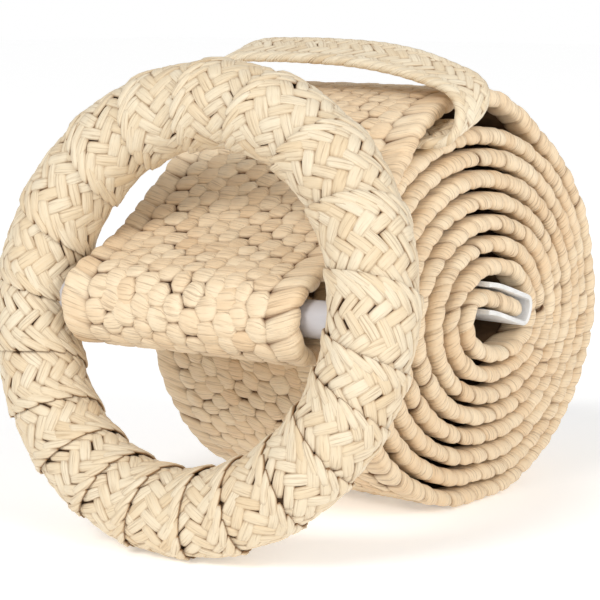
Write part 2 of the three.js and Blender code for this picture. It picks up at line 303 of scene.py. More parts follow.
core_u = rounded(np.cos(core_angles), CORE_CORNERS_ACROSS) * core_half_width
core_n = rounded(np.sin(core_angles), CORE_CORNERS_THROUGH) * core_half_thick
core_s = np.linspace(0, strap_length, int(strap_length / CORE_STEP))
strap_core = add_mesh(
    "strap_core",
    on_strap(*section_places(core_s, core_u, core_n)),
    swept_faces(len(core_s), len(core_u), False),
)


def raffia_group():
    """Split raffia: fine fibres along each strand, soft creases across it, its change of colour, and painted
    shade low down between strands.
    """
    group = bpy.data.node_groups.new("raffia strands", "ShaderNodeTree")
    sockets = (("Fibres", 24.0), ("Creases", 3.0), ("Shade", 0.5), ("Rise", 1.0))
    group.interface.new_socket("Flow", in_out="INPUT", socket_type="NodeSocketVector")
    for name, value in sockets:
        group.interface.new_socket(name, in_out="INPUT", socket_type="NodeSocketFloat").default_value = value
    for name in ("Pale", "Warm", "Deep"):
        group.interface.new_socket(name, in_out="INPUT", socket_type="NodeSocketColor")
    group.interface.new_socket("Color", in_out="OUTPUT", socket_type="NodeSocketColor")
    group.interface.new_socket("Height", in_out="OUTPUT", socket_type="NodeSocketFloat")
    group.interface.new_socket("Roughness", in_out="OUTPUT", socket_type="NodeSocketFloat")
    nodes, links = group.nodes, group.links
    given = nodes.new("NodeGroupInput")
    out = nodes.new("NodeGroupOutput")
    place = nodes.new("ShaderNodeSeparateXYZ")
    links.new(given.outputs["Flow"], place.inputs[0])

    def math_node(kind, first, second):
        node = nodes.new("ShaderNodeMath")
        node.operation = kind
        for socket, value in zip(node.inputs, (first, second)):
            if isinstance(value, (int, float)):
                socket.default_value = value
            else:
                links.new(value, socket)
        return node.outputs[0]

    def stretched_noise(lengthwise, crosswise, detail):
        at = nodes.new("ShaderNodeCombineXYZ")
        links.new(math_node("MULTIPLY", place.outputs[0], lengthwise), at.inputs[0])
        links.new(math_node("MULTIPLY", place.outputs[1], crosswise), at.inputs[1])
        noise = nodes.new("ShaderNodeTexNoise")
        noise.inputs["Scale"].default_value = 1.0
        noise.inputs["Detail"].default_value = detail
        noise.inputs["Roughness"].default_value = 0.55
        links.new(at.outputs[0], noise.inputs["Vector"])
        return noise.outputs["Fac"]

    fine = stretched_noise(1.3, given.outputs["Fibres"], 3.0)
    broad = stretched_noise(0.9, 9.0, 2.0)
    creased = stretched_noise(given.outputs["Creases"], 1.5, 2.0)
    # the fine fibres stand highest, then the broad bands that they lie in, then the creases across them
    ridges = math_node("ADD", math_node("MULTIPLY", fine, 0.6), math_node("MULTIPLY", broad, 0.5))
    height = math_node("ADD", ridges, math_node("MULTIPLY", creased, 0.35))
    links.new(height, out.inputs["Height"])

    def mixed(factor, first, second):
        mix = nodes.new("ShaderNodeMix")
        mix.data_type = "RGBA"
        links.new(factor, mix.inputs["Factor"])
        links.new(first, mix.inputs[6])
        links.new(second, mix.inputs[7])
        return mix.outputs[2]

    def ranged(value, low, high, first, last):
        node = nodes.new("ShaderNodeMapRange")
        node.interpolation_type = "SMOOTHSTEP"
        for socket, number in zip(list(node.inputs)[1:5], (low, high, first, last)):
            socket.default_value = number
        links.new(value, node.inputs[0])
        return node.outputs[0]

    shade = math_node("MULTIPLY", given.outputs["Shade"], 0.65)
    tint = math_node("ADD", shade, math_node("MULTIPLY", broad, 0.5))
    strand = mixed(ranged(tint, 0.25, 0.95, 0.0, 1.0), given.outputs["Pale"], given.outputs["Warm"])
    worn = mixed(ranged(creased, 0.35, 0.75, 0.0, 0.35), strand, given.outputs["Warm"])
    lined = mixed(ranged(fine, 0.30, 0.50, 0.42, 0.0), worn, given.outputs["Deep"])
    # painted shade: low down between two strands, where shade falls in the gaps, the colour goes over to the
    # deep one
    shaded = mixed(ranged(given.outputs["Rise"], 0.12, 0.78, 1.0, 0.0), lined, given.outputs["Deep"])
    links.new(shaded, out.inputs["Color"])
    links.new(ranged(fine, 0.3, 0.7, 0.72, 0.5), out.inputs["Roughness"])
    return group


raffia = raffia_group()


def raffia_material(name, pale, warm, deep, fibres, relief):
    """Strands of raffia with their own colours and painted shade low between them, read from the mesh's fibre
    map and marks.
    """
    material = bpy.data.materials.new(name)
    material.use_nodes = True
    nodes, links = material.node_tree.nodes, material.node_tree.links
    surface = nodes["Principled BSDF"]
    surface.inputs["Sheen Weight"].default_value = 0.12
    surface.inputs["Sheen Roughness"].default_value = 0.45
    surface.inputs["Specular IOR Level"].default_value = 0.35
    strands = nodes.new("ShaderNodeGroup")
    strands.node_tree = raffia
    for socket, colour in (("Pale", pale), ("Warm", warm), ("Deep", deep)):
        strands.inputs[socket].default_value = (*colour, 1.0)
    strands.inputs["Fibres"].default_value = fibres
    flow = nodes.new("ShaderNodeUVMap")
    flow.uv_map = "fibre"
    links.new(flow.outputs[0], strands.inputs["Flow"])
    # the rise mark sets where shade is painted low between strands; the shade mark is each strand's own tone
    for mark, socket in (("shade", "Shade"), ("rise", "Rise")):
        reader = nodes.new("ShaderNodeAttribute")
        reader.attribute_name = mark
        links.new(reader.outputs["Fac"], strands.inputs[socket])
    bump = nodes.new("ShaderNodeBump")
    bump.inputs["Strength"].default_value = relief
    bump.inputs["Distance"].default_value = 0.00045
    links.new(strands.outputs["Height"], bump.inputs["Height"])
    links.new(strands.outputs["Color"], surface.inputs["Base Color"])
    links.new(strands.outputs["Roughness"], surface.inputs["Roughness"])
    links.new(bump.outputs[0], surface.inputs["Normal"])
    return material


def clouded_material(name, scale, detail, darker, paler):
    """A plain material whose colour wanders between two tones, each a place on the noise and a colour.

    It comes with its place and noise nodes.
    """
    material = bpy.data.materials.new(name)
    material.use_nodes = True
    nodes, links = material.node_tree.nodes, material.node_tree.links
    place = nodes.new("ShaderNodeTexCoord")
    noise = nodes.new("ShaderNodeTexNoise")
    noise.inputs["Scale"].default_value = scale
    noise.inputs["Detail"].default_value = detail
    tones = nodes.new("ShaderNodeValToRGB")
    for element, (position, colour) in zip(tones.color_ramp.elements, (darker, paler)):
        element.position = position
        element.color = (*colour, 1)
    links.new(place.outputs["Object"], noise.inputs["Vector"])
    links.new(noise.outputs["Fac"], tones.inputs["Fac"])
    links.new(tones.outputs["Color"], nodes["Principled BSDF"].inputs["Base Color"])
    return material, place, noise


# Painted shade: the strands underneath, which show only as dark gaps between those on top, are coloured dark
# as the shade there
gap_shade_raffia, _, _ = clouded_material(
    "raffia painted as gap shade", 700, 3, (0, (0.10, 0.055, 0.025)), (1, (0.30, 0.18, 0.09)))
gap_shade_raffia.node_tree.nodes["Principled BSDF"].inputs["Roughness"].default_value = 0.9
strap_core.data.materials.append(gap_shade_raffia)
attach(strap_core, "belt")
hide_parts("strap", "strap_front")

# Weave: the weft covers the strap as rounded pillows in offset rows, one over each warp. Each is a split
# raffia strand that rises out of the row, swells over the warp, and goes down again. The faces that the roll
# hides have none.
ROW_PITCH = 1.95
COLUMN_PITCH = 3.4
COLUMNS = 11
PILLOW_HALF_ACROSS = 2.55
PILLOW_HALF_ALONG = 2.25
PILLOW_RIM = 0.75
PILLOW_TOP = 1.84
PILLOW_TWIST_DEGREES = 6.0
# how round a pillow is across and along itself
PILLOW_POWERS = (3.6, 3.4)
# how far a lump's underside lies below its rim
LUMP_BELOW = 0.2
PINCH_POWER = 2.6
STRAIGHT_PINCH_POWER = 1.15
# the furrows that a strand's half width holds, the second set's closer spacing, and each set's share
FURROW_BANDS = (1.0, 1.9)
FURROW_CLOSER = 1.63
FURROW_SHARES = (0.6, 0.4)
FURROW_SKEW = 0.14
WEAVE_FURROW = 0.17
# the stretch of the fibre pattern, in centimetres, over which the strands take their own places
FIBRE_SPREAD = 40
WEAVE_DRIFT = 0.36
WEAVE_DRIFT_LENGTH = 34.0
# how the rows' drift leans across the strap, and how much slower the columns drift
WEAVE_DRIFT_LEAN = 1.7
COLUMN_DRIFT_RATE = 0.7
WEAVE_FIBRES = 30.0
WEAVE_RELIEF = 0.95
OUTER_WEAVE_TURN = 1.02
INNER_WEAVE_TURN = -0.02
STRAP_PALE = (0.88, 0.725, 0.51)
STRAP_WARM = (0.78, 0.565, 0.345)
# the deep colour is both the dark lines among the fibres and the painted shade low between strands
STRAP_DEEP = (0.19, 0.09, 0.035)


def lump(cells_long, cells_wide, pinch, straight=0.0, evenness=0.0):
    """A unit lump: its places along and across, as a closed grid with one point below.

    pinch narrows its ends, and only beyond the straight part of its length. With evenness 0 its cells get
    finer towards the ends, and with 1 they are all alike.
    """
    even = np.linspace(-1, 1, cells_long + 1)
    x = np.sin(even * math.pi / 2) * (1 - evenness) + even * evenness
    y = np.sin(np.linspace(-math.pi / 2, math.pi / 2, cells_wide + 1))
    grid_x, grid_y = [g.ravel() for g in np.meshgrid(x, y, indexing="ij")]
    wide, long = cells_wide + 1, cells_long + 1
    i, j = [g.ravel() for g in np.meshgrid(np.arange(cells_long), np.arange(cells_wide), indexing="ij")]
    quads = np.stack([i * wide + j, (i + 1) * wide + j, (i + 1) * wide + j + 1, i * wide + j + 1], -1)
    rim = np.concatenate([
        np.arange(wide), np.arange(1, long) * wide + wide - 1,
        (long - 1) * wide + np.arange(wide - 2, -1, -1), np.arange(long - 2, 0, -1) * wide,
    ])
    below = len(grid_x)
    fan = np.stack([np.full(len(rim), below), rim, np.roll(rim, -1)], -1)
    beyond = np.clip((np.abs(grid_x) - straight) / (1 - straight), 0, 1)
    narrow = 1 - pinch * beyond ** (PINCH_POWER if straight == 0 else STRAIGHT_PINCH_POWER)
    return {
        "x": np.append(grid_x, 0), "y": np.append(grid_y, 0), "side": np.append(grid_y * narrow, 0),
        "below": np.arange(below + 1) == below, "quads": quads, "fan": fan,
    }


def lump_height(shape, across_power, along_power):
    """How high each point of a lump stands, from 0 at its rim to 1 at its crown."""
    sides = np.clip(1 - np.abs(shape["y"]) ** across_power, 0, 1) ** 0.5
    ends = np.clip(1 - np.abs(shape["x"]) ** along_power, 0, 1) ** 0.5
    return np.where(shape["below"], 0, sides * ends)


def furrowed(rng, shape, height, copies, depth):
    """The heights of many copies of a lump, each with shallow furrows of its own along the strand."""
    bands = rng.uniform(*FURROW_BANDS, copies)[:, None]
    start = rng.random(copies)[:, None]
    skew = rng.normal(0, FURROW_SKEW, copies)[:, None]
    across = bands * shape["y"] + start + skew * shape["x"]
    wide_folds = FURROW_SHARES[0] * np.cos(2 * math.pi * across)
    folds = wide_folds + FURROW_SHARES[1] * np.cos(2 * math.pi * (FURROW_CLOSER * across + 3 * start))
    return height * (1 - depth * (0.5 + 0.5 * folds))


def add_lumps(name, shape, points, rise, shade, fibre):
    """Many copies of a lump as one mesh. points and fibre have a row for each copy."""
    copies = len(points)
    start = (np.arange(copies) * len(shape["x"]))[:, None, None]
    faces = [(start + shape[kind][None]).reshape(-1, shape[kind].shape[1]) for kind in ("quads", "fan")]
    spread = np.ones((copies, len(shape["x"])))
    return add_mesh(name, points, faces, {"rise": rise * spread, "shade": shade[:, None] * spread}, fibre)


def fibre_map(shape, half_long, half_wide, chance, slant=0.0):
    """Centimetres along and across each strand, from a place of its own."""
    copies = len(chance)
    start = chance * FIBRE_SPREAD
    along = shape["x"][None] * half_long * 0.1 + start[:, :1]
    across = shape["y"][None] * half_wide * 0.1 + start[:, 1:2]
    slanted = across + slant * (along - start[:, :1])
    return np.stack([along + 0 * across, slanted], -1).reshape(copies, -1, 2)


def weave(name, first, last, side, seed):
    """Rows of pillows on one face of the strap, between two runs along it. side is 1 for the outer face.

    Each pillow has a little play in its place, size, twist, tilt and height.
    """
    rng = np.random.default_rng(seed)
    shape = lump(6, 9, 0.7, 0.45)
    rows = int((last - first) / ROW_PITCH)
    row, column = [g.ravel() for g in np.meshgrid(np.arange(rows), np.arange(COLUMNS), indexing="ij")]
    raised = (row + column) % 2 == 0
    s = first + (row[raised] + 0.5) * ROW_PITCH
    u = (column[raised] - (COLUMNS - 1) / 2) * COLUMN_PITCH
    copies = len(s)
    drift = 2 * math.pi * (s + WEAVE_DRIFT_LEAN * u) / WEAVE_DRIFT_LENGTH
    s = s + rng.normal(0, 0.14, copies) + WEAVE_DRIFT * np.sin(drift)
    u = u + rng.normal(0, 0.18, copies) + 0.5 * WEAVE_DRIFT * np.cos(COLUMN_DRIFT_RATE * drift)
    long = PILLOW_HALF_ACROSS * rng.normal(1, 0.08, copies)
    wide = PILLOW_HALF_ALONG * rng.normal(1, 0.09, copies)
    twist = np.radians(rng.normal(PILLOW_TWIST_DEGREES, PILLOW_TWIST_DEGREES, copies))[:, None]
    tilt = rng.normal(0.08, 0.12, copies)[:, None]
    lean = rng.normal(0, 0.11, copies)[:, None]
    top = PILLOW_TOP - np.abs(rng.normal(0, 0.09, copies))[:, None]
    x, y = shape["x"] * long[:, None], shape["side"] * wide[:, None]
    height = furrowed(rng, shape, lump_height(shape, *PILLOW_POWERS), copies, WEAVE_FURROW)
    n = PILLOW_RIM + (top - PILLOW_RIM) * height + (tilt * shape["x"] + lean * shape["y"]) * height
    n = np.where(shape["below"], PILLOW_RIM - LUMP_BELOW, n)
    along = s[:, None] + x * np.sin(twist) + y * np.cos(twist)
    across = u[:, None] + x * np.cos(twist) - y * np.sin(twist)
    points = on_strap(along, across, n * side)
    chance = rng.random((copies, 2))
    shade = np.clip(rng.normal(0.4, 0.16, copies), 0, 1)
    fibre = fibre_map(shape, PILLOW_HALF_ACROSS, PILLOW_HALF_ALONG, chance, 0.2)
    return add_lumps(name, shape, points, height, shade, fibre)


strap_raffia = raffia_material("strap raffia", STRAP_PALE, STRAP_WARM, STRAP_DEEP, WEAVE_FIBRES, WEAVE_RELIEF)
for weave_piece in (
    weave("strap_weave_outer", 0.0, run_at_turn(OUTER_WEAVE_TURN), 1, 11),
    weave("strap_weave_inner", 0.0, run_at_turn(INNER_WEAVE_TURN), -1, 12),
):
    weave_piece.data.materials.append(strap_raffia)
    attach(weave_piece, "belt")
    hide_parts("strap", "strap_front")

# Selvedges: at both long edges the weft turns round the last warp as fat slanting wraps, which is all that
# the roll shows of its inner turns. Each edge wanders a little, so the turns don't line up.
WRAP_FACE = 5.0
WRAP_RADIUS = 1.78
WRAP_HALF_WIDE = 2.5
WRAP_SLANT = 0.36
WRAP_SINK = 1.05
# how round a wrap is across and along itself
WRAP_POWERS = (2.1, 5.0)
WANDER_STEP = 9
WANDER = 0.22
WRAP_FURROW = 0.13
# the length over which a wrap that would reach past the end of the strap is pressed flat
END_SOFT = 0.4


def selvedge(name, edge, seed):
    """The slanting wraps along one edge of the strap. edge is 1 for the side towards +X."""
    rng = np.random.default_rng(seed)
    shape = lump(20, 9, 0.12, evenness=0.8)
    copies = int(strap_length / ROW_PITCH / 2)
    middle = (2 * np.arange(copies) + 1.5) * ROW_PITCH + rng.normal(0, 0.2, copies)
    bend = math.pi * WRAP_RADIUS
    half_long = (bend + 2 * WRAP_FACE) / 2
    t = shape["x"][None] * half_long * (1 + rng.normal(0, 0.03, copies))[:, None]
    angle = np.clip(t / WRAP_RADIUS, -math.pi / 2, math.pi / 2)
    beyond = np.maximum(np.abs(t) - bend / 2, 0)
    wander_run = np.arange(0, strap_length + WANDER_STEP, WANDER_STEP)
    wander = np.interp(middle, wander_run, rng.normal(0, WANDER, int(strap_length / WANDER_STEP) + 2))
    height = furrowed(rng, shape, lump_height(shape, *WRAP_POWERS), copies, WRAP_FURROW)
    radius = WRAP_RADIUS - WRAP_SINK * (1 - height) - np.abs(rng.normal(0, 0.12, copies))[:, None]
    radius = np.where(shape["below"], WRAP_RADIUS - WRAP_SINK - LUMP_BELOW, radius)
    centre = STRAP_WIDTH / 2 - WRAP_RADIUS + wander[:, None]
    u = centre + radius * np.cos(angle) - beyond
    n = -radius * np.sin(angle)
    wide = WRAP_HALF_WIDE * (1 + rng.normal(0, 0.1, copies))[:, None]
    slant = WRAP_SLANT + rng.normal(0, 0.04, copies)[:, None]
    s = middle[:, None] + slant * t + shape["side"] * wide
    s = END_SOFT * np.logaddexp(0, s / END_SOFT)
    s = strap_length - END_SOFT * np.logaddexp(0, (strap_length - s) / END_SOFT)
    chance = rng.random((copies, 2))
    shade = np.clip(rng.normal(0.45, 0.16, copies), 0, 1)
    fibre = fibre_map(shape, half_long, WRAP_HALF_WIDE, chance, 0.08)
    return add_lumps(name, shape, on_strap(s, u * edge, n), height, shade, fibre)


for edge_piece in (selvedge("strap_edge_near", 1, 21), selvedge("strap_edge_far", -1, 22)):
    edge_piece.data.materials.append(strap_raffia)
    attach(edge_piece, "belt")
    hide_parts("strap", "strap_front")

# End binding: a white cotton tape folded over the strap's loose end and sewn through both faces, so that the
# weave can't fray there.
TAPE_THICK = 0.9
TAPE_REACH = 12.0
TAPE_GAP = 0.3
TAPE_WIDTH = 50.4
TAPE_STEP = 1.0
TAPE_NOSE = 1.7
TAPE_NOSE_ROUND = 0.8
TAPE_NOSE_STEPS = 13
TAPE_BEVEL = 0.2
TAPE_SMOOTH_DEGREES = 40


def tape_route():
    """Points of the tape's middle line round the loose end, in the plane of the roll's spiral."""
    off = STRAP_HALF_THICK + TAPE_GAP + TAPE_THICK / 2
    s = np.arange(strap_length - TAPE_REACH, strap_length, TAPE_STEP)
    angles = np.linspace(math.pi / 2, -math.pi / 2, TAPE_NOSE_STEPS)
    nose = [
        on_strap(np.array(strap_length), 0.0, 0.0)
        + strap_along[-1] * TAPE_NOSE * abs(math.cos(a)) ** TAPE_NOSE_ROUND
        + strap_out[-1] * off * math.copysign(abs(math.sin(a)) ** TAPE_NOSE_ROUND, a)
        for a in angles
    ]
    up, down = on_strap(s, 0 * s, off + 0 * s), on_strap(s, 0 * s, -off + 0 * s)
    return np.concatenate([up, nose, down[::-1]])


tape_line = tape_route() * MM
bpy.ops.mesh.primitive_plane_add(size=1.0, location=(0, 0, 0))
end_tape = bpy.context.object
end_tape.name = "end_tape"
for vertex, (x_side, index) in zip(end_tape.data.vertices, ((-1, 0), (1, 0), (-1, 1), (1, 1))):
    vertex.co = Vector(tape_line[index]) + Vector((x_side * TAPE_WIDTH / 2 * MM, 0, 0))
bpy.ops.object.mode_set(mode="EDIT")
bpy.ops.mesh.select_mode(type="EDGE")
for before, after in zip(tape_line[1:-1], tape_line[2:]):
    bpy.ops.object.mode_set(mode="OBJECT")
    for part in (*end_tape.data.polygons, *end_tape.data.edges, *end_tape.data.vertices):
        part.select = False
    for edge in end_tape.data.edges:
        ends = [end_tape.data.vertices[k].co for k in edge.vertices]
        edge.select = all((Vector((0, p.y - before[1], p.z - before[2]))).length < 1e-6 for p in ends)
    bpy.ops.object.mode_set(mode="EDIT")
    bpy.ops.mesh.extrude_region_move(TRANSFORM_OT_translate={"value": tuple(after - before)})
bpy.ops.object.mode_set(mode="OBJECT")


def add_modifier(piece, kind, **settings):
    """Adds one modifier to a piece and applies it."""
    bpy.context.view_layer.objects.active = piece
    modifier = piece.modifiers.new(kind.lower(), kind)
    for key, value in settings.items():
        setattr(modifier, key, value)
    bpy.ops.object.modifier_apply(modifier=modifier.name)


add_modifier(end_tape, "SOLIDIFY", thickness=TAPE_THICK * MM, offset=0.0)
add_modifier(end_tape, "BEVEL", width=TAPE_BEVEL * MM, segments=2, limit_method="ANGLE")
bpy.ops.object.select_all(action="DESELECT")
end_tape.select_set(True)
bpy.ops.object.mode_set(mode="EDIT")
bpy.ops.mesh.select_all(action="SELECT")
bpy.ops.mesh.normals_make_consistent(inside=False)
bpy.ops.object.mode_set(mode="OBJECT")
bpy.ops.object.shade_smooth_by_angle(angle=math.radians(TAPE_SMOOTH_DEGREES))


def cotton_material():
    """Off-white cotton tape in a fine plain weave, faintly soiled."""
    material, place, _ = clouded_material(
        "cotton tape", 260, 4, (0.3, (0.68, 0.67, 0.645)), (0.6, (0.84, 0.83, 0.81)))
    nodes, links = material.node_tree.nodes, material.node_tree.links
    surface = nodes["Principled BSDF"]
    surface.inputs["Sheen Weight"].default_value = 0.3
    surface.inputs["Roughness"].default_value = 0.9
    waves = []
    for direction in ("X", "Z"):
        wave = nodes.new("ShaderNodeTexWave")
        wave.bands_direction = direction
        wave.inputs["Scale"].default_value = 900
        wave.inputs["Distortion"].default_value = 1.2
        wave.inputs["Detail Scale"].default_value = 2.0
        links.new(place.outputs["Object"], wave.inputs["Vector"])
        waves.append(wave.outputs["Fac"])
    both = nodes.new("ShaderNodeMath")
    both.operation = "MULTIPLY"
    links.new(waves[0], both.inputs[0])
    links.new(waves[1], both.inputs[1])
    bump = nodes.new("ShaderNodeBump")
    bump.inputs["Strength"].default_value = 0.35
    bump.inputs["Distance"].default_value = 0.0002
    links.new(both.outputs[0], bump.inputs["Height"])
    links.new(bump.outputs[0], surface.inputs["Normal"])
    return material


end_tape.data.materials.append(cotton_material())
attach(end_tape, "belt")
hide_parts("end_binding")

# Buckle frame: a moulded white plastic ring with a round bar across its middle. The band covers all of the
# ring, so only the bar shows, inside the strap's fold and at its ends.
RING_RADIUS = 35.1
RING_LEAN_DEGREES = 11.5
FRAME_TUBE = 5.35
BAR_RADIUS = 3.2
# points nearer to each other than this are joined after a boolean
SLIVER = 0.015
BAR_SIDES = 48
FRAME_STEPS = (96, 24)
RING_SMOOTH_DEGREES = 35
ring_lean = math.radians(RING_LEAN_DEGREES)
ring_yaw = math.radians(VEER_DEGREES)


def merge_slivers(piece):
    """Joins the points that a boolean leaves almost on top of each other."""
    bpy.ops.object.select_all(action="DESELECT")
    piece.select_set(True)
    bpy.context.view_layer.objects.active = piece
    bpy.ops.object.mode_set(mode="EDIT")
    bpy.ops.mesh.select_all(action="SELECT")
    bpy.ops.mesh.remove_doubles(threshold=SLIVER * MM)
    bpy.ops.mesh.dissolve_degenerate(threshold=SLIVER * MM)
    bpy.ops.object.mode_set(mode="OBJECT")


def lean_on_strap(piece):
    """Turns a ring that was made flat at the origin to where the buckle stands, and shades it smooth."""
    piece.rotation_euler = (math.pi / 2 - ring_lean, 0, ring_yaw)
    piece.location = Vector(bar_middle * MM)
    bpy.ops.object.select_all(action="DESELECT")
    piece.select_set(True)
    bpy.context.view_layer.objects.active = piece
    bpy.ops.object.transform_apply(location=True, rotation=True, scale=True)
    bpy.ops.object.shade_smooth_by_angle(angle=math.radians(RING_SMOOTH_DEGREES))


def add_torus(tube, steps_round, steps_across):
    """A ring of the buckle's own size, with a tube of the given radius."""
    bpy.ops.mesh.primitive_torus_add(
        major_radius=RING_RADIUS * MM, minor_radius=tube * MM,
        major_segments=steps_round, minor_segments=steps_across)
    return bpy.context.object


def add_rod(radius):
    """A rod across the whole ring."""
    bpy.ops.mesh.primitive_cylinder_add(
        vertices=BAR_SIDES, radius=radius * MM, depth=2 * RING_RADIUS * MM, rotation=(0, math.pi / 2, 0))
    return bpy.context.object


buckle_core = add_torus(FRAME_TUBE, *FRAME_STEPS)
buckle_core.name = "buckle_core"
bar = add_rod(BAR_RADIUS)
add_modifier(buckle_core, "BOOLEAN", operation="UNION", object=bar, solver="EXACT")
bpy.data.objects.remove(bar)
merge_slivers(buckle_core)
lean_on_strap(buckle_core)


def plastic_material():
    """Bluish white moulded plastic, slightly uneven, with its colour painted down to mid grey as the shade
    that the bar sits in.
    """
    # painted shade: the white plastic is coloured mid grey, as the shade that the bar sits in
    material, _, noise = clouded_material(
        "white moulded plastic painted grey as shade", 160, 3, (0, (0.50, 0.48, 0.49)), (1, (0.62, 0.60, 0.62)))
    nodes, links = material.node_tree.nodes, material.node_tree.links
    surface = nodes["Principled BSDF"]
    surface.inputs["Subsurface Weight"].default_value = 0.1
    surface.inputs["Subsurface Radius"].default_value = (0.001, 0.001, 0.001)
    gloss = nodes.new("ShaderNodeMapRange")
    gloss.inputs["To Min"].default_value = 0.28
    gloss.inputs["To Max"].default_value = 0.42
    links.new(noise.outputs["Fac"], gloss.inputs["Value"])
    links.new(gloss.outputs["Result"], surface.inputs["Roughness"])
    return material


buckle_core.data.materials.append(plastic_material())
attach(buckle_core, "buckle")
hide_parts("buckle_frame")

# Buckle wrap: a flat plait of raffia, two strands over and two under, wound round the plastic ring. Each turn
# of the band lies over the start of the next one, and its finished edge is a row of long strands.
WRAP_TUBE = 7.9
BAND_WIDTH = 17.0
BAND_STRAND = 2.2
BAND_TURN_LENGTH = 51.5
BAND_LOW = 7.5
BAND_STEP_UP = 0.55
STRAND_THICK = 0.6
STRAND_FURROW = 0.24
# half a float's length and width, in strand widths
FLOAT_HALF_LONG = 1.26
FLOAT_HALF_WIDE = 0.58
# how round a float is across and along itself
FLOAT_POWERS = (3.4, 4.5)
FLOAT_BELOW = 0.15
PLAIT_DEGREES = 45.0
PLAIT_PLAY_DEGREES = 5
# floats further than this share of a turn's pitch under the turn before are left out
BAND_HIDDEN = -0.12
EDGE_STRAND_LONG = 3.1
EDGE_STRAND_WIDE = 0.9
EDGE_SLANT_DEGREES = 27.0
EDGE_INSET = 0.9
EDGE_LIFT = 0.12
EDGE_PAST = 0.3
GROUND_TUBE = 6.7
GROUND_STEPS = (120, 32)
WRAP_CLEARANCE = 0.15
# Where the finished edges cross the ring's front, in degrees round it from +X, going up over the top
BAND_EDGES = [-7, 13, 34, 55, 77, 97, 116, 136, 159, 179, 198, 216, 232, 248, 263, 280, 294, 311, 326, 341]
band_turns = len(BAND_EDGES)
edge_turns = np.arange(-2, band_turns + 3)
edge_degrees = np.array([BAND_EDGES[k % band_turns] + 360 * (k // band_turns) for k in edge_turns])
ring_x = np.array([math.cos(ring_yaw), math.sin(ring_yaw), 0])
ring_level = math.sin(ring_lean)
ring_up = np.array([-math.sin(ring_yaw) * ring_level, math.cos(ring_yaw) * ring_level, math.cos(ring_lean)])
ring_front = np.cross(ring_x, ring_up)


def on_ring(ring_angle, tube_angle, tube):
    """Points on a torus round the bar's middle. The tube's angle is 0 outermost, a quarter at the front."""
    reach = RING_RADIUS + tube * np.cos(tube_angle)
    return (
        bar_middle
        + (reach * np.cos(ring_angle))[..., None] * ring_x
        + (reach * np.sin(ring_angle))[..., None] * ring_up
        + (tube * np.sin(tube_angle))[..., None] * ring_front
    )


def on_band(p, q, lift):
    """Points on the wound band: p along it, q across it from its middle towards its finished edge."""
    turns = p / BAND_TURN_LENGTH
    tube_angle = (turns + 0.25) * 2 * math.pi
    edge = np.radians(np.interp(turns, edge_turns, edge_degrees))
    covered = np.radians(np.interp(turns - 1, edge_turns, edge_degrees))
    ring_angle = edge - (BAND_WIDTH / 2 - q) / (RING_RADIUS + WRAP_TUBE * np.cos(tube_angle))
    part = (ring_angle - covered) / (edge - covered)
    tube = BAND_LOW + BAND_STEP_UP * np.clip(part, -1, 1) + lift
    return on_ring(ring_angle, tube_angle, tube), part


def plait(length, width, strand):
    """Middles of the floats of a flat plait, two strands over and two under, and the way each one slants."""
    half = strand / math.sqrt(2)
    columns = int(width / (2 * half))
    made = []
    for column in range(columns):
        p = np.arange(0.5 + column % 2, length / half, 2) * half
        q = (column - (columns - 1) / 2) * 2 * half
        made.append(np.stack([p, np.full(len(p), q), np.full(len(p), 1 - 2 * (column % 2))], -1))
    return np.concatenate(made)


def plaited(rng, middles, shape, half_long, half_wide, degrees):
    """Places along and across a band of every point of every float, with a little play in each."""
    copies = len(middles)
    angle = np.radians(middles[:, 2] * degrees + rng.normal(0, PLAIT_PLAY_DEGREES, copies))[:, None]
    x = shape["x"][None] * half_long * rng.normal(1, 0.05, copies)[:, None]
    y = shape["side"][None] * half_wide * rng.normal(1, 0.1, copies)[:, None]
    play = [rng.normal(0, 0.1, copies), rng.normal(0, 0.1, copies), np.zeros(copies)]
    middles = middles + np.stack(play, -1)
    p = middles[:, :1] + x * np.cos(angle) - y * np.sin(angle)
    q = middles[:, 1:2] + x * np.sin(angle) + y * np.cos(angle)
    return p, q


band_length = band_turns * BAND_TURN_LENGTH


def band_strands(name, middles, half_long, half_wide, degrees, lift, seed):
    """Strands at their middles on the wound band, except where the turn before covers them."""
    rng = np.random.default_rng(seed)
    shape = lump(7, 7, 0.12)
    _, part = on_band(middles[:, 0], middles[:, 1], 0.0)
    middles = middles[part > BAND_HIDDEN]
    copies = len(middles)
    p, q = plaited(rng, middles, shape, half_long, half_wide, degrees)
    height = furrowed(rng, shape, lump_height(shape, *FLOAT_POWERS), copies, STRAND_FURROW)
    loose = rng.normal(0, 0.06, copies)[:, None] + rng.normal(0, 0.09, copies)[:, None] * shape["x"]
    raised = lift - STRAND_THICK * (1 - height) + loose * height
    raised = np.where(shape["below"], lift - STRAND_THICK - FLOAT_BELOW, raised)
    points, _ = on_band(p, np.minimum(q, BAND_WIDTH / 2 + EDGE_PAST), raised)
    chance = rng.random((copies, 2))
    shade = np.clip(rng.normal(0.4, 0.22, copies), 0, 1)
    return add_lumps(name, shape, points, height, shade, fibre_map(shape, half_long, half_wide, chance))


WRAP_PALE = (0.80, 0.69, 0.51)
WRAP_WARM = (0.73, 0.57, 0.365)
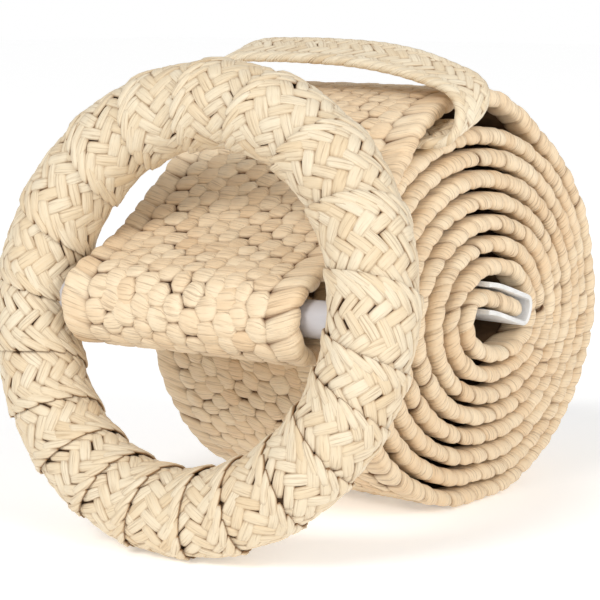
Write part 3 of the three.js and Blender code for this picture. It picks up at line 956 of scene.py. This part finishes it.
# the deep colour is both the dark lines among the fibres and the painted shade low between strands
WRAP_DEEP = (0.28, 0.15, 0.06)
wrap_raffia = raffia_material("pale plaited raffia", WRAP_PALE, WRAP_WARM, WRAP_DEEP, 28.0, 0.8)
edge_p = np.arange(0, band_length, BAND_STRAND * math.sqrt(2))
edge_middles = np.stack([edge_p, np.full(len(edge_p), BAND_WIDTH / 2 - EDGE_INSET), np.ones(len(edge_p))], -1)
wrap_pieces = [
    band_strands(
        "buckle_plait", plait(band_length, BAND_WIDTH, BAND_STRAND),
        BAND_STRAND * FLOAT_HALF_LONG, BAND_STRAND * FLOAT_HALF_WIDE, PLAIT_DEGREES, 0.0, 31),
    band_strands(
        "buckle_plait_edges", edge_middles,
        EDGE_STRAND_LONG, EDGE_STRAND_WIDE, EDGE_SLANT_DEGREES, EDGE_LIFT, 32),
]
wrap_ground = add_torus(GROUND_TUBE, *GROUND_STEPS)
wrap_ground.name = "buckle_plait_ground"
hollow = add_torus(FRAME_TUBE + WRAP_CLEARANCE, *GROUND_STEPS)
add_modifier(wrap_ground, "BOOLEAN", operation="DIFFERENCE", object=hollow, solver="EXACT")
bpy.data.objects.remove(hollow)
bar_hole = add_rod(BAR_RADIUS + WRAP_CLEARANCE)
add_modifier(wrap_ground, "BOOLEAN", operation="DIFFERENCE", object=bar_hole, solver="EXACT")
bpy.data.objects.remove(bar_hole)
merge_slivers(wrap_ground)
lean_on_strap(wrap_ground)
# painted shade: the ground under the plait is coloured dark as the shade in its gaps
wrap_ground.data.materials.append(gap_shade_raffia)
for wrap_piece in wrap_pieces:
    wrap_piece.data.materials.append(wrap_raffia)
for wrap_piece in (*wrap_pieces, wrap_ground):
    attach(wrap_piece, "buckle")
    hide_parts("buckle_wrap")

# Keeper: a narrow plaited band sewn into a loop, which slides on the strap. It stands up over the roll as a
# stiff arch, turns under at both edges, and its lower run passes between the first two turns.
KEEPER_THICK = 1.7
KEEPER_WIDTH = 11.0
KEEPER_AHEAD = 8.2
KEEPER_FORWARD = 8.6
# its lower run lies further forward, up to this share of its height
KEEPER_FORWARD_TO = 0.6
KEEPER_TILT_DEGREES = 9.0
KEEPER_TILT_FROM = 2.0
# the stretch of the strap that it can sit on: from before the band leaves the roll to a turn past its top
KEEPER_SEAT_BEFORE = 20
KEEPER_SEAT_TURN = 0.15
KEEPER_STRAND = 1.9
KEEPER_STRAND_THICK = 0.4
KEEPER_EDGE_THICK = 0.3
KEEPER_BELOW = 0.1
KEEPER_FLOAT_HALF_LONG = 1.28
KEEPER_FLOAT_HALF_WIDE = 0.6
KEEPER_FLOAT_POWERS = (2.6, 4.5)
# how far the floats dip, over what width, and where they end, towards both edges
KEEPER_EDGE_DIP = 0.5
KEEPER_EDGE_DIP_WIDE = 1.2
KEEPER_EDGE_INSET = 0.15
# the strands that turn round an edge: half their length, their slant, their half width in pitches
KEEPER_TURN_HALF_LONG = 3.2
KEEPER_TURN_SLANT = 0.95
KEEPER_TURN_HALF_WIDE = 0.66
KEEPER_TURN_POWERS = (2.4, 4.5)
KEEPER_TURN_PROUD = 0.03
KEEPER_CORE_INSET = 0.6
KEEPER_CORE_THIN = 0.4
KEEPER_CORE_CORNERS = 0.4
KEEPER_CORE_SIDES = 12
KEEPER_CORE_STEPS = 110
# across the strap from its middle, height off the strap's mid-thickness
KEEPER_STATIONS = [
    (0, -3.6), (13, -3.5), (21.5, -3.45), (25.4, -3.3), (28.6, -2.8), (30.5, -1), (29.8, 1.4),
    (26.5, 3.5), (21.5, 5), (14.5, 6.9), (6, 8.2), (-5, 8.8), (-16, 8.9), (-24, 8.5), (-29, 6.7),
    (-31, 3.4), (-30.4, -0.6), (-27, -3.1), (-21.5, -3.5), (-13, -3.5),
]


def keeper_loop():
    """Points round the keeper's loop with their width directions, each on its own seat on the strap."""
    loop = curve_through(KEEPER_STATIONS, 24, closed=True)
    across, height = loop[:, 0], loop[:, 1]
    top, bottom = max(h for _, h in KEEPER_STATIONS), min(h for _, h in KEEPER_STATIONS)
    ahead = KEEPER_AHEAD + KEEPER_FORWARD * (1 - ease(bottom, top * KEEPER_FORWARD_TO, height))
    first, last = run_at_turn(LEAVE_TURN) - KEEPER_SEAT_BEFORE, run_at_turn(KEEPER_SEAT_TURN)
    near_top = (strap_run > first) & (strap_run < last)
    seat = np.interp(to_frame[1] - ahead, strap_points[near_top, 1], strap_run[near_top])
    flat, out = on_strap(seat, 0 * seat, 0 * seat), on_strap(seat, 0 * seat, 0 * seat + 1)
    side = on_strap(seat, 0 * seat + 1, 0 * seat) - flat
    normal = out - flat
    normal *= np.sign(normal[:, 2:])
    forward = np.cross(side, normal)
    forward *= -np.sign(forward[:, 1:2])
    tilt = np.radians(KEEPER_TILT_DEGREES) * ease(KEEPER_TILT_FROM, top, height)
    wide = forward * np.cos(tilt)[:, None] + np.cross(side, forward) * np.sin(tilt)[:, None]
    return flat + side * across[:, None] + normal * height[:, None], wide


loop_points, loop_wide = keeper_loop()
loop_run = run_along(np.concatenate([loop_points, loop_points[:1]]))
keeper_length = loop_run[-1]
loop_along = unit(np.roll(loop_points, -1, axis=0) - np.roll(loop_points, 1, axis=0))
loop_out = unit(np.cross(loop_along, loop_wide))
if np.sum(loop_out * (loop_points - loop_points.mean(0))) < 0:
    loop_out = -loop_out


def on_keeper(p, q, n):
    """Points at a run round the keeper's loop, across from its middle, and out from its mid-thickness."""
    closed = (np.concatenate([values, values[:1]]) for values in (loop_points, loop_wide, loop_out))
    return beside_line(np.mod(p, keeper_length), loop_run, *closed, q, n)


def keeper_face(name, side, seed):
    """The plaited floats on one face of the keeper. side is 1 for the face away from the strap."""
    rng = np.random.default_rng(seed)
    shape = lump(7, 7, 0.12)
    rounds = round(keeper_length / (KEEPER_STRAND * math.sqrt(2)))
    strand = keeper_length / rounds / math.sqrt(2)
    middles = plait(keeper_length - 0.01, KEEPER_WIDTH, strand)
    copies = len(middles)
    half_long, half_wide = strand * KEEPER_FLOAT_HALF_LONG, strand * KEEPER_FLOAT_HALF_WIDE
    p, q = plaited(rng, middles, shape, half_long, half_wide, PLAIT_DEGREES)
    height = furrowed(rng, shape, lump_height(shape, *KEEPER_FLOAT_POWERS), copies, STRAND_FURROW)
    loose = rng.normal(0, 0.03, copies)[:, None] + rng.normal(0, 0.05, copies)[:, None] * shape["x"]
    n = KEEPER_THICK / 2 - KEEPER_STRAND_THICK * (1 - height) + loose * height
    n = np.where(shape["below"], KEEPER_THICK / 2 - KEEPER_STRAND_THICK - KEEPER_BELOW, n)
    half = KEEPER_WIDTH / 2
    n = n - KEEPER_EDGE_DIP * ease(half - KEEPER_EDGE_DIP_WIDE, half, np.abs(q))
    q = np.clip(q, -half + KEEPER_EDGE_INSET, half - KEEPER_EDGE_INSET)
    chance = rng.random((copies, 2))
    shade = np.clip(rng.normal(0.35, 0.2, copies), 0, 1)
    fibre = fibre_map(shape, strand, strand / 2, chance)
    return add_lumps(name, shape, on_keeper(p, q, n * side), height, shade, fibre)


def keeper_edge(name, edge, seed):
    """Strands turning round one edge of the keeper."""
    rng = np.random.default_rng(seed)
    shape = lump(10, 4, 0.15, evenness=0.6)
    copies = round(keeper_length / (KEEPER_STRAND * math.sqrt(2)))
    pitch = keeper_length / copies
    radius_out = KEEPER_THICK / 2 + KEEPER_TURN_PROUD
    t = shape["x"][None] * KEEPER_TURN_HALF_LONG * rng.normal(1, 0.05, copies)[:, None]
    angle = np.clip(t / radius_out, -math.pi / 2, math.pi / 2)
    beyond = np.maximum(np.abs(t) - math.pi * radius_out / 2, 0)
    height = lump_height(shape, *KEEPER_TURN_POWERS)
    radius = radius_out - KEEPER_EDGE_THICK * (1 - height)
    radius = np.where(shape["below"], radius_out - KEEPER_EDGE_THICK - KEEPER_BELOW, radius)
    q = KEEPER_WIDTH / 2 - radius_out + radius * np.cos(angle) - beyond
    middle = (np.arange(copies) + 0.5) * pitch + rng.normal(0, 0.08, copies)
    p = middle[:, None] + KEEPER_TURN_SLANT * t + shape["side"] * pitch * KEEPER_TURN_HALF_WIDE
    chance = rng.random((copies, 2))
    shade = np.clip(rng.normal(0.35, 0.2, copies), 0, 1)
    fibre = fibre_map(shape, KEEPER_TURN_HALF_LONG, pitch / 2, chance)
    return add_lumps(name, shape, on_keeper(p, q * edge, -radius * np.sin(angle)), height, shade, fibre)


keeper_angles = np.linspace(0, 2 * math.pi, KEEPER_CORE_SIDES, endpoint=False) + math.pi / KEEPER_CORE_SIDES
keeper_q = rounded(np.cos(keeper_angles), KEEPER_CORE_CORNERS) * (KEEPER_WIDTH / 2 - KEEPER_CORE_INSET)
keeper_n = np.sin(keeper_angles) * (KEEPER_THICK / 2 - KEEPER_CORE_THIN)
keeper_p = np.linspace(0, keeper_length, KEEPER_CORE_STEPS, endpoint=False)
keeper_core = add_mesh(
    "keeper_core",
    on_keeper(*section_places(keeper_p, keeper_q, keeper_n)),
    swept_faces(len(keeper_p), len(keeper_q), True),
)
# painted shade: the keeper's core is coloured dark as the shade in its gaps
keeper_core.data.materials.append(gap_shade_raffia)
KEEPER_PALE = (0.87, 0.76, 0.57)
keeper_raffia = raffia_material("keeper raffia", KEEPER_PALE, WRAP_WARM, WRAP_DEEP, 34.0, 0.7)
keeper_pieces = [
    keeper_face("keeper_plait_outer", 1, 41),
    keeper_face("keeper_plait_inner", -1, 42),
    keeper_edge("keeper_edge_front", 1, 43),
    keeper_edge("keeper_edge_rear", -1, 44),
]
for keeper_piece in keeper_pieces:
    keeper_piece.data.materials.append(keeper_raffia)
for keeper_piece in (*keeper_pieces, keeper_core):
    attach(keeper_piece, "belt")
    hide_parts("keeper")

# Studio: a plain pale table, a broad soft lamp above and to the left of the camera, a second soft lamp on its
# right, and an even white surround. The table glows faintly, so that it looks as white as the surround. The
# camera looks from the photograph's angle.
CAMERA_AZIMUTH = 41.15
CAMERA_ELEVATION = 8.4
CAMERA_DISTANCE = 417.0
CAMERA_TARGET = (-25.9, 16.12, 34.6)
CAMERA_PIXELS_PER_MM = 4.99
PHOTO_PIXELS = 600
SENSOR_MM = 36.0
SURROUND_LIGHT = 0.46
TABLE_SIZE = 6.0
TABLE_GLOW = 0.27
SURROUND_SEEN = 1.0
KEY_AZIMUTH = 0.0
KEY_ELEVATION = 38.0
KEY_STRENGTH = 1.5
KEY_SOFTNESS_DEGREES = 22.0
SIDE_AZIMUTH = 82.0
SIDE_ELEVATION = 25.0
SIDE_POWER = 4.1
SIDE_SIZE = 0.6
bpy.ops.mesh.primitive_plane_add(size=TABLE_SIZE, location=(0, 0, 0))
table_top = bpy.context.object
table_top.name = "table_top"
table_material, _, _ = clouded_material("pale table", 4, 2, (0, (0.98, 0.98, 0.98)), (1, (0.99, 0.99, 0.99)))
table_surface = table_material.node_tree.nodes["Principled BSDF"]
table_surface.inputs["Roughness"].default_value = 0.8
table_surface.inputs["Emission Color"].default_value = (1, 1, 1, 1)
table_surface.inputs["Emission Strength"].default_value = TABLE_GLOW
table_top.data.materials.append(table_material)

world = bpy.data.worlds.new("white surround")
bpy.context.scene.world = world
world.use_nodes = True
world_nodes, world_links = world.node_tree.nodes, world.node_tree.links
seen_or_lighting = world_nodes.new("ShaderNodeLightPath")
surround_strength = world_nodes.new("ShaderNodeMapRange")
surround_strength.inputs["To Min"].default_value = SURROUND_LIGHT
surround_strength.inputs["To Max"].default_value = SURROUND_SEEN
world_links.new(seen_or_lighting.outputs["Is Camera Ray"], surround_strength.inputs["Value"])
world_nodes["Background"].inputs["Color"].default_value = (1, 1, 1, 1)
world_links.new(surround_strength.outputs[0], world_nodes["Background"].inputs["Strength"])
bpy.context.scene.view_settings.view_transform = "Standard"


def direction(azimuth, elevation):
    """A unit vector from the belt: azimuth in degrees from the buckle's side towards +X, then up."""
    a, e = math.radians(azimuth), math.radians(elevation)
    return Vector((math.sin(a) * math.cos(e), -math.cos(a) * math.cos(e), math.sin(e)))


def aim(thing, way):
    """Points a camera or a lamp back along the way that it was moved out."""
    thing.rotation_mode = "QUATERNION"
    thing.rotation_quaternion = (-way).to_track_quat("-Z", "Y")


back = direction(CAMERA_AZIMUTH, CAMERA_ELEVATION)
target = Vector(CAMERA_TARGET) * MM
bpy.ops.object.camera_add(location=target + back * CAMERA_DISTANCE * MM)
camera = bpy.context.object
aim(camera, back)
camera.data.sensor_width = SENSOR_MM
camera.data.lens = CAMERA_PIXELS_PER_MM * CAMERA_DISTANCE / PHOTO_PIXELS * SENSOR_MM
camera.data.clip_start = 0.02
bpy.context.scene.camera = camera

bpy.ops.object.light_add(type="SUN", location=(0, 0, 1))
key_lamp = bpy.context.object
key_lamp.name = "key_lamp"
key_lamp.data.energy = KEY_STRENGTH
key_lamp.data.angle = math.radians(KEY_SOFTNESS_DEGREES)
aim(key_lamp, direction(KEY_AZIMUTH, KEY_ELEVATION))
side_way = direction(SIDE_AZIMUTH, SIDE_ELEVATION)
bpy.ops.object.light_add(type="AREA", location=side_way + target)
side_lamp = bpy.context.object
side_lamp.name = "side_lamp"
side_lamp.data.size = SIDE_SIZE
side_lamp.data.energy = SIDE_POWER
aim(side_lamp, side_way)
